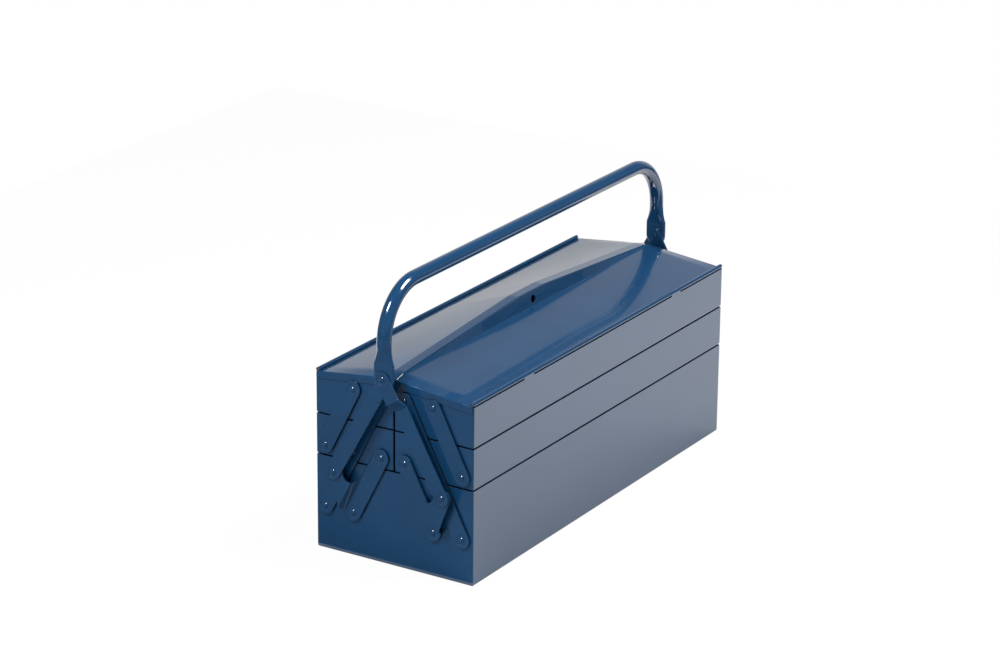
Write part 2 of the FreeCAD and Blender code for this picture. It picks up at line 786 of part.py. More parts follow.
def add_domed_outline(sketch, points, apex):
    """An outline that ends in an arc from its last point to an apex on the sketch's first axis."""
    rim_x, rim_radius = points[-1]
    rise = apex - rim_x
    centre = rim_x + (rise * rise - rim_radius * rim_radius) / (rise * 2)
    first = len(sketch.Geometry)
    last = first + len(points) - 1
    for start, finish in zip(points, points[1:]):
        sketch.addGeometry(Part.LineSegment(vector(start), vector(finish)), False)
    crown = Part.Circle(vector((centre, 0)), FreeCAD.Vector(0, 0, 1), abs((apex - centre).value))
    rim = math.atan2(rim_radius.value, (rim_x - centre).value)
    outward_head = apex.value > centre.value
    angles = (0, rim) if outward_head else (rim, math.pi)
    sketch.addGeometry(Part.ArcOfCircle(crown, *angles), False)
    sketch.addGeometry(Part.LineSegment(vector((apex, 0)), vector(points[0])), False)
    rim_end, apex_end = (2, 1) if outward_head else (1, 2)
    for index, point in enumerate(points[:-1]):
        pin_point(sketch, first + index, 1, point)
    for index in range(first, last - 1):
        sketch.addConstraint(Sketcher.Constraint("Coincident", index, 2, index + 1, 1))
    pin_point(sketch, last - 1, 2, points[-1])
    sketch.addConstraint(Sketcher.Constraint("Coincident", last - 1, 2, last, rim_end))
    pin_point(sketch, last, 3, (centre, 0))
    sketch.addConstraint(Sketcher.Constraint("Coincident", last, apex_end, last + 1, 1))
    sketch.addConstraint(Sketcher.Constraint("PointOnObject", last, apex_end, -1))
    sketch.addConstraint(Sketcher.Constraint("Coincident", last + 1, 2, first, 1))


def rivet(body, name, end, place, back, face, tailed, headed):
    """A shank from one layer to another, with a formed tail, a domed head or both."""
    across, up = place
    sketch = sketch_on(body, name, "XZ_Plane", -as_size(across))
    bind(sketch, "AttachmentOffset.Base.x", half_length * end)
    bind(sketch, "AttachmentOffset.Base.y", up)
    outline = [(back, shank), (face, shank)]
    if tailed:
        tail = back - size("tail_height")
        outline = [(tail, as_size(0)), (tail, size("tail_radius")), (back, size("tail_radius"))] + outline
    else:
        outline = [(back, as_size(0))] + outline
    outline.append((face, size("head_radius") if headed else as_size(0)))
    points = [(x * end, radius) for x, radius in outline]
    if headed:
        add_domed_outline(sketch, points, (face + size("head_height")) * end)
    else:
        add_polygon(sketch, points)
    turned = body.newObject("PartDesign::Revolution", name + "_turned")
    turned.Profile = sketch
    turned.ReferenceAxis = (sketch, ["H_Axis"])
    turned.Angle = 360


def rivet_set(label, places, back, face, tailed=True, headed=True):
    """The same rivet at every place, at both ends of the box."""
    body = new_body(label)
    body.AllowCompound = True
    for end_name, end in ENDS.items():
        for index, place in enumerate(places):
            rivet(body, f"{label}_{end_name}_{index}", end, place, back, face, tailed, headed)
    doc.recompute()
    nodes.append(body)


# Rivets: each is fast in one piece and the arms turn on it
rivet_seat = bar_face - size("dish_depth")
rivet_set("base_rivets", base_pivots, -wall, rivet_seat)
parting = arm_back - size("arm_gap") / 2
for name, side in SIDES.items():
    middle_places = [(place * side, pivot_zs[1]) for place in pivot_ys]
    upper_places = [(place * side, pivot_zs[2]) for place in pivot_ys[1:]]
    lobe_place = [(lobe_y * side, lobe_z)]
    rivet_set(f"{name}_middle_tray_rivets", middle_places, -wall, rivet_seat)
    rivet_set(f"{name}_upper_tray_rivets", upper_places, -wall, rivet_seat)
    rivet_set(f"{name}_lobe_rivet_tails", lobe_place, lobe_back, parting, headed=False)
    rivet_set(f"{name}_lobe_rivets", lobe_place, parting, arm_face - size("dish_depth"), tailed=False)
rivet_set("handle_rivets", [(0, handle_pivot_z)], inner_top_back, outer_top_face - size("dish_depth"))

# Every object is looked over before anything is written
doc.recompute()
for item in doc.Objects:
    if {"Invalid", "Error"} & set(item.State):
        raise RuntimeError(f"{item.Label} did not build")
for node in nodes:
    if node.Shape.isNull() or not node.Shape.isValid() or not node.Shape.Solids:
        raise RuntimeError(f"{node.Label} has no sound shape")
for node in nodes:
    node.Shape.exportStep(f"parts/{node.Label}.step")
print(len(nodes), "pieces written")
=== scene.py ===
import math
import bmesh
import bpy
from mathutils import Matrix, Vector


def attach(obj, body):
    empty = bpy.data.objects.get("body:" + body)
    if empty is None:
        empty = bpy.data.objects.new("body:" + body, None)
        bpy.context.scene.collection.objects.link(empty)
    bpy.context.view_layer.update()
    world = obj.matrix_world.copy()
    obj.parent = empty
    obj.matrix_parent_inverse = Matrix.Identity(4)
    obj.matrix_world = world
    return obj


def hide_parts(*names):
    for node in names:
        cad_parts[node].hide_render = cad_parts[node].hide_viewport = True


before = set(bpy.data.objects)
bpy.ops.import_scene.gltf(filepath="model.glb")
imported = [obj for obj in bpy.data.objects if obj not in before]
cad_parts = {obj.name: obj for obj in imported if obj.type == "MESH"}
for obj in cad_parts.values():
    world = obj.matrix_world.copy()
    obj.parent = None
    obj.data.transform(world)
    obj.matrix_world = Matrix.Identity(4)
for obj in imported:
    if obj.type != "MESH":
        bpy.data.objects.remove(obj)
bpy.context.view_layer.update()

# Base box and trays: cold-rolled sheet, folded up, spot welded at the corners and hemmed along the
# long rims. Each is dipped and stoved in one thick coat of glossy blue enamel, which shows a fine
# orange peel, lies thin and paler over the folds, where a highlight is partly painted, follows the
# sheet's slight waves and has shade painted into its seams.
MM = 0.001
SIDES = ("front", "rear")
ALL = (0, 1)
ENAMEL_BLUE = (0.007, 0.049, 0.127)
THIN_PAINT_HIGHLIGHT_BLUE = (0.03, 0.085, 0.19)
SEAM_PAINTED_SHADE = (0.004, 0.006, 0.01)
FOLD_REACH = 0.7 * MM
FLAT_TO_FOLD = (0.995, 0.8)
PATCH_SCALE = 140
SEAM_REACH = 5 * MM
SEAM_TO_OPEN = (0.25, 0.65)
CLOUD_SCALE = 14
CLOUD_SPAN = (0.3, 0.7)
CLOUD_DEPTHS = (0.93, 1.07)
PAINT_ROUGHNESS = (0.1, 0.18)
THIN_ROUGHNESS = 0.4
THIN_GLOSS = 0.2
WAVE_SCALE = 9
WAVE_DEPTH = 3 * MM
PEEL_SCALE = 620
PEEL_DEPTH = 0.3 * MM


def add_node(tree, kind, values=(), **settings):
    node = tree.nodes.new("ShaderNode" + kind)
    for name, value in settings.items():
        setattr(node, name, value)
    for name, value in dict(values).items():
        node.inputs[name].default_value = value
    return node


def noise(tree, scale, detail, roughness=0.5):
    place = add_node(tree, "TexCoord")
    pattern = add_node(tree, "TexNoise", {"Scale": scale, "Detail": detail, "Roughness": roughness})
    tree.links.new(place.outputs["Object"], pattern.inputs["Vector"])
    return pattern.outputs["Fac"]


def ranged(tree, value, given, wanted, easing="LINEAR"):
    limits = {"From Min": given[0], "From Max": given[1], "To Min": wanted[0], "To Max": wanted[1]}
    node = add_node(tree, "MapRange", limits, interpolation_type=easing)
    tree.links.new(value, node.inputs["Value"])
    return node.outputs["Result"]


def calculated(tree, operation, first, second):
    node = add_node(tree, "Math", operation=operation)
    tree.links.new(first, node.inputs[0])
    tree.links.new(second, node.inputs[1])
    return node.outputs["Value"]


def relief(tree, height, strength, depth, under):
    bump = add_node(tree, "Bump", {"Distance": depth})
    tree.links.new(height, bump.inputs["Height"])
    tree.links.new(strength, bump.inputs["Strength"])
    tree.links.new(under, bump.inputs["Normal"])
    return bump.outputs["Normal"]


def enamel_group():
    """Stoved enamel over sheet with soft edges: thin and paler on the folds, in part a painted
    highlight, with painted shade in the seams.
    """
    group = bpy.data.node_groups.new("enamel", "ShaderNodeTree")
    for name, value in (("Peel", 0.1), ("Wave", 0.1), ("Wear_and_highlight", 0.5)):
        socket = group.interface.new_socket(name, in_out="INPUT", socket_type="NodeSocketFloat")
        socket.default_value = value
    for name, kind in (("Colour", "Color"), ("Roughness", "Float"), ("Gloss", "Float"),
                       ("Normal", "Vector")):
        group.interface.new_socket(name, in_out="OUTPUT", socket_type="NodeSocket" + kind)
    source = group.nodes.new("NodeGroupInput")
    result = group.nodes.new("NodeGroupOutput")
    link = group.links.new

    # Where the paint ran thin over the folds and is rubbed there in patches, paler: this also paints a
    # highlight along the folds
    fold = add_node(group, "Bevel", {"Radius": FOLD_REACH}, samples=6)
    shape = add_node(group, "NewGeometry")
    turn = add_node(group, "VectorMath", operation="DOT_PRODUCT")
    link(fold.outputs["Normal"], turn.inputs[0])
    link(shape.outputs["Normal"], turn.inputs[1])
    fold_mask = ranged(group, turn.outputs["Value"], FLAT_TO_FOLD, ALL)
    worn_and_highlit = calculated(group, "MULTIPLY", fold_mask, noise(group, PATCH_SCALE, 3))
    rubbed_and_highlit = calculated(group, "MULTIPLY", worn_and_highlit, source.outputs["Wear_and_highlight"])

    # Colour, a little paler and deeper in clouds, with shade painted down in the seams
    cloud = noise(group, CLOUD_SCALE, 4)
    body = add_node(group, "Mix", data_type="RGBA", blend_type="MULTIPLY")
    body.inputs["Factor"].default_value = 1
    body.inputs["A"].default_value = (*ENAMEL_BLUE, 1)
    link(ranged(group, cloud, CLOUD_SPAN, CLOUD_DEPTHS), body.inputs["B"])
    # Painted highlight in part: the folds are mixed toward the paler blue, in rubbed patches
    paint = add_node(group, "Mix", data_type="RGBA")
    paint.inputs["B"].default_value = (*THIN_PAINT_HIGHLIGHT_BLUE, 1)
    link(rubbed_and_highlit, paint.inputs["Factor"])
    link(body.outputs["Result"], paint.inputs["A"])
    # Painted shade: the colour darkens to near black wherever occlusion finds a seam or crevice
    seam = add_node(group, "AmbientOcclusion", {"Distance": SEAM_REACH}, samples=8)
    outside_painted_shade = ranged(group, seam.outputs["AO"], SEAM_TO_OPEN, ALL)
    seam_shaded = add_node(group, "Mix", data_type="RGBA")
    seam_shaded.inputs["A"].default_value = (*SEAM_PAINTED_SHADE, 1)
    link(outside_painted_shade, seam_shaded.inputs["Factor"])
    link(paint.outputs["Result"], seam_shaded.inputs["B"])
    link(seam_shaded.outputs["Result"], result.inputs["Colour"])

    # Gloss, mostly lost where the paint is thin and in the seams
    covered = ranged(group, fold_mask, ALL, (1, THIN_GLOSS))
    link(calculated(group, "MULTIPLY", outside_painted_shade, covered), result.inputs["Gloss"])
    rubbed_dull = ranged(group, fold_mask, ALL, (0, THIN_ROUGHNESS))
    smooth = ranged(group, cloud, ALL, PAINT_ROUGHNESS)
    link(calculated(group, "ADD", rubbed_dull, smooth), result.inputs["Roughness"])

    # Slow waves in the sheet, with orange peel in the paint over them
    waves = relief(group, noise(group, WAVE_SCALE, 1), source.outputs["Wave"], WAVE_DEPTH,
                   fold.outputs["Normal"])
    peel = relief(group, noise(group, PEEL_SCALE, 2, 0.4), source.outputs["Peel"], PEEL_DEPTH, waves)
    link(peel, result.inputs["Normal"])
    return group


enamel_effect = enamel_group()


def enamel(name, peel, wave, highlight_and_wear):
    material = bpy.data.materials.new(name)
    material.use_nodes = True
    tree = material.node_tree
    shader = tree.nodes["Principled BSDF"]
    shader.inputs["IOR"].default_value = 1.5
    shader.inputs["Coat Roughness"].default_value = 0.04
    shader.inputs["Coat IOR"].default_value = 1.68
    values = {"Peel": peel, "Wave": wave, "Wear_and_highlight": highlight_and_wear}
    effect = add_node(tree, "Group", values, node_tree=enamel_effect)
    for output, socket in (("Colour", "Base Color"), ("Roughness", "Roughness"),
                           ("Gloss", "Coat Weight"), ("Normal", "Normal")):
        tree.links.new(effect.outputs[output], shader.inputs[socket])
    return material


def finish_node(name, material):
    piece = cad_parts[name]
    piece.data.materials.clear()
    piece.data.materials.append(material)


sheet_enamel = enamel("enamel_on_sheet", peel=0.2, wave=0.05, highlight_and_wear=0.6)
finish_node("base_box", sheet_enamel)
for side in SIDES:
    finish_node(f"{side}_middle_tray", sheet_enamel)
    finish_node(f"{side}_upper_tray", sheet_enamel)

# Hinge pins: bright drawn wire, slid through the rolled knuckles before the lids are painted.
# Only their ends show. The drawing die leaves fine lines along the wire.
WIRE_STEEL = (0.55, 0.56, 0.58)
WIRE_ROUGHNESS = (0.25, 0.45)
LINE_STRETCH = (4, 900, 900)
LINE_DEPTH = 0.05 * MM


def drawn_wire():
    material = bpy.data.materials.new("drawn_wire")
    material.use_nodes = True
    tree = material.node_tree
    shader = tree.nodes["Principled BSDF"]
    shader.inputs["Metallic"].default_value = 1
    shader.inputs["Base Color"].default_value = (*WIRE_STEEL, 1)
    place = add_node(tree, "TexCoord")
    stretch = add_node(tree, "Mapping", {"Scale": LINE_STRETCH})
    lines = add_node(tree, "TexNoise", {"Scale": 2, "Detail": 3})
    tree.links.new(place.outputs["Object"], stretch.inputs["Vector"])
    tree.links.new(stretch.outputs["Vector"], lines.inputs["Vector"])
    tree.links.new(ranged(tree, lines.outputs["Fac"], ALL, WIRE_ROUGHNESS), shader.inputs["Roughness"])
    groove = add_node(tree, "Bump", {"Strength": 0.3, "Distance": LINE_DEPTH})
    tree.links.new(lines.outputs["Fac"], groove.inputs["Height"])
    tree.links.new(groove.outputs["Normal"], shader.inputs["Normal"])
    return material


wire_steel = drawn_wire()
for side in SIDES:
    finish_node(f"{side}_hinge_pin", wire_steel)

# Lids: one pressed sheet each, curled round the hinge pin, drawn up to a ridge along the middle and
# bent down at both ends. The front lid's flange stands up, and the rear lid's ridge hooks down
# behind it, so that one padlock through both keeps the box shut. Sizes in millimetres.
SHEET = 0.8
HINGE_Y = 97.65
HINGE_Z = 205.75
CURL_RADIUS = 1.55
CURL_START = 210
CURL_TURN = 300
CURL_STEPS = 24
LID_EDGE_Z = 204.2
LID_END = 271
SHOULDER = 255
TAB = 27
SOFT_REACH = 4
RIDGE_HEIGHTS = (10.2, 14.6, 31.8)
CREASE_HEIGHTS = (9.4, 13.3, 14.8)
HOOK_DEPTHS = (2.4, 3.5, 15)
CREASE_Y = 8
CREASE_RADIUS = 1.2
RIDGE_RADIUS = 1.6
HOOK_RADIUS = 0.9
FLANGE_LEAN = 3
FLANGE_DROP = 0.4
MEETING_GAP = 0.5
NOTCH_START = 149.5
NOTCH_END = 170.5
NOTCH_Y = 94.8
END_FLANGE = 8.5
END_BEND = 1.4
END_BEND_STEPS = 5
CURL_LEFT_ON_BEND = 4
TAB_STEPS = 6
SLOPE_STEPS = 12
NEAR_PADLOCK = {0, 4, 6, 8}
PADLOCK_RADIUS = 4.75
PADLOCK_Z = LID_EDGE_Z + 22.1
PUNCH_Y = -5
PUNCH_LENGTH = 20
CUT_EDGE = math.radians(40)


def eased(x, heights):
    """Height at x along straight runs from tab to shoulder to end, eased where they meet."""
    def rise(past):
        if past > SOFT_REACH:
            return past
        return max(past + SOFT_REACH, 0) ** 2 / (4 * SOFT_REACH)

    end_height, shoulder_height, tab_height = heights
    middle_slope = (shoulder_height - tab_height) / (SHOULDER - TAB)
    end_slope = (end_height - shoulder_height) / (LID_END - SHOULDER)
    return (tab_height + middle_slope * (rise(x - TAB) - rise(x - SHOULDER))
            + end_slope * rise(x - SHOULDER))


def rounded(corners, radii, steps=5):
    """A line through corners with an arc of its own radius at each inner one."""
    line = [Vector(corners[0])]
    for before, corner, after, radius in zip(corners, corners[1:], corners[2:], radii):
        before, corner, after = Vector(before), Vector(corner), Vector(after)
        into, out = (corner - before).normalized(), (after - corner).normalized()
        half = into.angle(out) / 2
        centre = corner + (out - into).normalized() * (radius / math.cos(half))
        spoke = corner - into * (radius * math.tan(half)) - centre
        way = 1 if into.cross(out) > 0 else -1
        for step in range(steps + 1):
            line.append(centre + Matrix.Rotation(way * 2 * half * step / steps, 2) @ spoke)
    line.append(Vector(corners[-1]))
    return line


def divided(start, finish, count=12):
    return [start.lerp(finish, step / count) for step in range(1, count)]


def across(corners, radii, side):
    """The line across a lid: its curl round the pin, the notch's inner edge and the folded sheet."""
    curl = []
    for step in range(CURL_STEPS + 1):
        angle = math.radians(CURL_START - CURL_TURN * step / CURL_STEPS)
        curl.append(Vector(((HINGE_Y + CURL_RADIUS * math.cos(angle)) * side,
                            HINGE_Z + CURL_RADIUS * math.sin(angle))))
    sheet = rounded(corners, radii)
    notch = sheet[0].lerp(sheet[1], (HINGE_Y - NOTCH_Y) / abs(sheet[1].x - sheet[0].x))
    return curl + [notch] + divided(notch, sheet[1]) + sheet[1:]


def front_line(x):
    """The front lid's upper surface across the box at x, from the hinge to the flange's top."""
    crease = LID_EDGE_Z + eased(abs(x), CREASE_HEIGHTS)
    top = LID_EDGE_Z + eased(abs(x), RIDGE_HEIGHTS) - FLANGE_DROP
    corners = [(-HINGE_Y, LID_EDGE_Z), (-CREASE_Y, crease), (FLANGE_LEAN - CREASE_Y, top)]
    return across(corners, [CREASE_RADIUS], -1)


def rear_line(x):
    """The rear lid's upper surface across the box at x, from the hinge to the hook's lower edge."""
    top = LID_EDGE_Z + eased(abs(x), RIDGE_HEIGHTS)
    hook = eased(abs(x), HOOK_DEPTHS)
    slant = FLANGE_LEAN / (RIDGE_HEIGHTS[2] - FLANGE_DROP - CREASE_HEIGHTS[2])
    edge = CREASE_Y - FLANGE_LEAN - SHEET - MEETING_GAP
    corners = [(HINGE_Y, LID_EDGE_Z), (CREASE_Y, top), (-edge, top), (-edge - hook * slant, top - hook)]
    return across(corners, [RIDGE_RADIUS, min(HOOK_RADIUS, hook / 2)], 1)


def lid_stations():
    """Places along a lid, close together where it turns, and how far its bent ends fall there."""
    flat_end = LID_END - END_BEND
    places = NEAR_PADLOCK | {NOTCH_START, NOTCH_END, flat_end}
    for middle in (TAB, SHOULDER):
        places |= {middle + SOFT_REACH * step / 4 for step in range(-4, 5)}
    slope = SHOULDER - TAB - 2 * SOFT_REACH
    places |= {TAB + SOFT_REACH + slope * step / SLOPE_STEPS for step in range(SLOPE_STEPS + 1)}
    places |= {TAB * step / TAB_STEPS for step in range(TAB_STEPS - 1)}
    half = [(place, 0) for place in sorted({round(place, 3) for place in places})]
    for step in range(1, END_BEND_STEPS + 1):
        turn = math.radians(90) * step / END_BEND_STEPS
        half.append((flat_end + END_BEND * math.sin(turn), END_BEND * (1 - math.cos(turn))))
    half.append((LID_END, END_FLANGE))
    return [(-x, fall) for x, fall in reversed(half[1:])] + half


def drawn_out(lines, closed=False):
    """A sheet drawn out from line to line, with each vertex's place on its line kept in a layer."""
    bm = bmesh.new()
    place = bm.verts.layers.int.new("place")
    verts = [bm.verts.new(Vector(point) * MM) for point in lines[0]]
    for index, vert in enumerate(verts):
        vert[place] = index
    edges = [bm.edges.new(pair) for pair in zip(verts, verts[1:])]
    if closed:
        edges.append(bm.edges.new((verts[-1], verts[0])))
    for line in lines[1:]:
        drawn = bmesh.ops.extrude_edge_only(bm, edges=edges)["geom"]
        fresh = {piece for piece in drawn if isinstance(piece, bmesh.types.BMVert)}
        for vert in fresh:
            vert.co = Vector(line[vert[place]]) * MM
        edges = [piece for piece in drawn
                 if isinstance(piece, bmesh.types.BMEdge) and fresh.issuperset(piece.verts)]
    return bm, place


def lid(line_at):
    """A lid's sheet, drawn out along the box, cut away at the curl and given its thickness."""
    bm, place = drawn_out([[(x, point.x, point.y - fall) for point in line_at(x)]
                           for x, fall in lid_stations()])
    cut_away = []
    for face in bm.faces:
        along = abs(face.calc_center_median().x) / MM
        curl_step = min(vert[place] for vert in face.verts)
        in_notch = NOTCH_START < along < NOTCH_END and curl_step <= CURL_STEPS
        on_bend = along > LID_END - END_BEND and curl_step <= CURL_STEPS - CURL_LEFT_ON_BEND
        if in_notch or on_bend:
            cut_away.append(face)
    bmesh.ops.delete(bm, geom=cut_away, context="FACES")
    bm.verts.layers.int.remove(place)
    bmesh.ops.recalc_face_normals(bm, faces=bm.faces)
    if sum(face.normal.z * face.calc_area() for face in bm.faces) < 0:
        bmesh.ops.reverse_faces(bm, faces=bm.faces)
    bmesh.ops.solidify(bm, geom=bm.faces[:], thickness=SHEET * MM)
    return bm


def punched(bm):
    """The pressing with the padlock's hole punched through its upright edge."""
    sheet = bpy.data.meshes.new("sheet")
    bm.to_mesh(sheet)
    bm.free()
    blank = bpy.data.objects.new("blank", sheet)
    bpy.context.collection.objects.link(blank)
    bpy.ops.mesh.primitive_cylinder_add(
        vertices=48, radius=PADLOCK_RADIUS * MM, depth=PUNCH_LENGTH * MM,
        location=(0, PUNCH_Y * MM, PADLOCK_Z * MM), rotation=(math.pi / 2, 0, 0))
    punch = bpy.context.active_object
    cut = blank.modifiers.new("hole", "BOOLEAN")
    cut.object = punch
    result = bmesh.new()
    result.from_object(blank, bpy.context.evaluated_depsgraph_get())
    for leftover in (blank, punch):
        bpy.data.objects.remove(leftover)
    return result


def mesh_piece(name, bm, material, body, *nodes):
    """A finished mesh with crisp cut edges that stands for its nodes and rides on a body."""
    for face in bm.faces:
        face.smooth = True
    for edge in bm.edges:
        edge.smooth = len(edge.link_faces) == 2 and edge.calc_face_angle() < CUT_EDGE
    mesh = bpy.data.meshes.new(name)
    bm.to_mesh(mesh)
    bm.free()
    mesh.materials.append(material)
    piece = bpy.data.objects.new(name, mesh)
    bpy.context.collection.objects.link(piece)
    flats = piece.modifiers.new("flats", "WEIGHTED_NORMAL")
    flats.keep_sharp = True
    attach(piece, body)
    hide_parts(*nodes)


lid_enamel = enamel("enamel_on_lids", peel=0.45, wave=0.2, highlight_and_wear=0.6)
for side, line_at in zip(SIDES, (front_line, rear_line)):
    mesh_piece(f"{side}_lid_pressing", punched(lid(line_at)), lid_enamel, f"{side}_lid", f"{side}_lid")

# Arms and links: blanked from 2 mm strip, with a dished seat pressed round each rivet so that the
# bar stands off the wall. The lower links' lobes and the handle arms are joggled past each other.
ENDS = ("left", "right")

bar_enamel = enamel("enamel_on_bars", peel=0.1, wave=0.02, highlight_and_wear=0.8)
for side in SIDES:
    for end in ENDS:
        for bar in ("long_arm", "upper_link", "lower_link", "handle_arm"):
            finish_node(f"{side}_{bar}_{end}", bar_enamel)

# Rivets: steel, set cold with a domed head in the seat's dish and painted with the rest. The paint
# lies thin and paler on the heads' edges, which also paints a highlight there.
rivet_enamel = enamel("enamel_on_rivets", peel=0.05, wave=0, highlight_and_wear=1)
finish_node("base_rivets", rivet_enamel)
finish_node("handle_rivets", rivet_enamel)
for side in SIDES:
    for rivets in ("middle_tray_rivets", "upper_tray_rivets", "lobe_rivet_tails", "lobe_rivets"):
        finish_node(f"{side}_{rivets}", rivet_enamel)

# Handle: a 16 mm tube bent at both ends, its legs squeezed flat to take the rivets. The squeeze
# leaves a shoulder on each side, and the bar is polished a little by hands. Sizes in millimetres.
PIVOT_Z = 221.1
LEG_X = 288.3
BAR_Z = 317
BEND_RADIUS = 57.54
BEND_STEPS = 24
TUBE_RADIUS = 8
FLAT_HALF_WIDTH = 12.5
FLAT_HALF_THICKNESS = 2.5
FLAT_END_Z = PIVOT_Z + 16
BEND_START_Z = BAR_Z - BEND_RADIUS
RING_POINTS = 48
FACE_SHARE = 0.625
FOOT_STEPS = 12
FOOT_THINNING = 0.9
SQUEEZE_STEPS = 14
SQUEEZE_CURVE = 1.8


def leg_ring(half_width, half_thickness, roundness):
    """Points round a leg: a flat with round edges that turns into a circle."""
    ring = []
    straight = half_width - half_thickness
    for step in range(RING_POINTS):
        turn = math.tau * (step + 0.5) / RING_POINTS
        out, along = math.sin(turn), math.cos(turn)
        if abs(along) < FACE_SHARE:
            flat = Vector((math.copysign(half_thickness, out), straight * along / FACE_SHARE))
        else:
            swing = math.radians(90) * (1 - abs(along)) / (1 - FACE_SHARE)
            flat = Vector((math.copysign(half_thickness * math.sin(swing), out),
                           math.copysign(straight + half_thickness * math.cos(swing), along)))
        circle = Vector((half_thickness * out, half_width * along))
        ring.append(flat.lerp(circle, roundness))
    return ring


def handle_rings():
    """Half of the handle from its foot to its bar: each ring's place, heading and section."""
    rings = []
    for step in range(1, FOOT_STEPS + 1):
        angle = math.radians(90) * step / FOOT_STEPS
        half_width = FLAT_HALF_WIDTH * math.sin(angle)
        rings.append((LEG_X, PIVOT_Z - FLAT_HALF_WIDTH * math.cos(angle), 0, half_width,
                      min(FLAT_HALF_THICKNESS, half_width * FOOT_THINNING), 0))
    rings.append((LEG_X, FLAT_END_Z - 1, 0, FLAT_HALF_WIDTH, FLAT_HALF_THICKNESS, 0))
    for step in range(SQUEEZE_STEPS + 1):
        share = step / SQUEEZE_STEPS
        swell = share * share * (3 - 2 * share)
        narrow = (1 - share) ** SQUEEZE_CURVE
        rings.append((LEG_X, FLAT_END_Z + (BEND_START_Z - FLAT_END_Z) * share, 0,
                      TUBE_RADIUS + (FLAT_HALF_WIDTH - TUBE_RADIUS) * narrow,
                      FLAT_HALF_THICKNESS + (TUBE_RADIUS - FLAT_HALF_THICKNESS) * swell, swell))
    for step in range(1, BEND_STEPS + 1):
        angle = math.radians(90) * step / BEND_STEPS
        rings.append((LEG_X - BEND_RADIUS * (1 - math.cos(angle)),
                      BEND_START_Z + BEND_RADIUS * math.sin(angle), angle, TUBE_RADIUS, TUBE_RADIUS, 1))
    return rings


def bent_tube():
    """The whole handle, drawn out from foot to foot and closed there."""
    rings = []
    for x, z, heading, half_width, half_thickness, roundness in handle_rings():
        section = leg_ring(half_width, half_thickness, roundness)
        rings.append([(x + point.x * math.cos(heading), point.y, z + point.x * math.sin(heading))
                      for point in section])
    mirrored = [[(-x, y, z) for x, y, z in ring] for ring in reversed(rings)]
    bm, place = drawn_out(rings + mirrored, closed=True)
    bm.verts.layers.int.remove(place)
    feet = [edge for edge in bm.edges if edge.is_boundary]
    bmesh.ops.holes_fill(bm, edges=feet, sides=RING_POINTS)
    bmesh.ops.recalc_face_normals(bm, faces=bm.faces)
    return bm


tube_enamel = enamel("enamel_on_tube", peel=0.07, wave=0.03, highlight_and_wear=0.4)
mesh_piece("bent_handle", bent_tube(), tube_enamel, "handle", "handle")

# Camera: a long lens that looks down on the near end's front corner. Its place and its heading were
# solved from the box's straight edges.
CAMERA_PLACE = (-3.05844, -1.86129, 1.48215)
CAMERA_RIGHT = Vector((0.53001, -0.84795, 0.00897))
CAMERA_DOWN = Vector((-0.28465, -0.18786, -0.94005))
CAMERA_FORWARD = Vector((0.79879, 0.49568, -0.34093))

camera_data = bpy.data.cameras.new("camera")
camera_data.sensor_width = 36
camera_data.lens = 122.54
camera_data.clip_end = 50
camera = bpy.data.objects.new("camera", camera_data)
bpy.context.collection.objects.link(camera)
heading = Matrix((CAMERA_RIGHT, -CAMERA_DOWN, -CAMERA_FORWARD)).transposed().to_4x4()
camera.matrix_world = Matrix.Translation(CAMERA_PLACE) @ heading
bpy.context.scene.camera = camera

# Floor and backdrop: white paper that keeps the box's shadow, with white all round it. Mirrored in
# the paint, the paper's glow is dimmed close to the box: a painted shadow there.
FLOOR_WIDTH = 2.4
PAPER_GREY = (0.6, 0.6, 0.6, 1)
WHITE = (1, 1, 1, 1)
SHADOW_SHARE = 0.05
COVER_REACH = 0.35
COVERED_TO_OPEN = (0.5, 0.95)
MIRRORED_PAPER = (0.52, 0.93)
LOW_TO_HIGH = (0.2, 0.6)
HEIGHT_LEVELS = (1, 0.4)
BEHIND_BOX = (0.85, 0.53, 0)
ASIDE_TO_BEHIND = (0.55, 0.85)
BEHIND_LEVELS = (0.12, 0.52)


def seen_or_lit(tree, seen, lit, output):
    """One shader for the eye and for reflections, another for the light on the object."""
    path = add_node(tree, "LightPath")
    either = calculated(tree, "MAXIMUM", path.outputs["Is Camera Ray"], path.outputs["Is Glossy Ray"])
    mix = add_node(tree, "MixShader")
    tree.links.new(calculated(tree, "MAXIMUM", either, path.outputs["Is Transmission Ray"]),
                   mix.inputs["Fac"])
    tree.links.new(lit, mix.inputs[1])
    tree.links.new(seen, mix.inputs[2])
    tree.links.new(mix.outputs["Shader"], output)


def studio_level(tree):
    """How bright the studio is in a direction: most low and behind the box, least above the eye."""
    place = add_node(tree, "TexCoord")
    direction = add_node(tree, "VectorMath", operation="NORMALIZE")
    tree.links.new(place.outputs["Object"], direction.inputs[0])
    parts = add_node(tree, "SeparateXYZ")
    tree.links.new(direction.outputs["Vector"], parts.inputs["Vector"])
    low = ranged(tree, parts.outputs["Z"], LOW_TO_HIGH, HEIGHT_LEVELS, "SMOOTHSTEP")
    away = add_node(tree, "VectorMath", {1: BEHIND_BOX}, operation="DOT_PRODUCT")
    tree.links.new(direction.outputs["Vector"], away.inputs[0])
    behind = ranged(tree, away.outputs["Value"], ASIDE_TO_BEHIND, BEHIND_LEVELS, "SMOOTHSTEP")
    return calculated(tree, "MULTIPLY", low, behind)


bpy.ops.mesh.primitive_plane_add(size=FLOOR_WIDTH)
floor = bpy.context.active_object
floor.name = "floor"
paper = bpy.data.materials.new("paper")
paper.use_nodes = True
tree = paper.node_tree
shader = tree.nodes["Principled BSDF"]
shader.inputs["Base Color"].default_value = PAPER_GREY
shader.inputs["Roughness"].default_value = 0.9
shader.inputs["Specular IOR Level"].default_value = 0
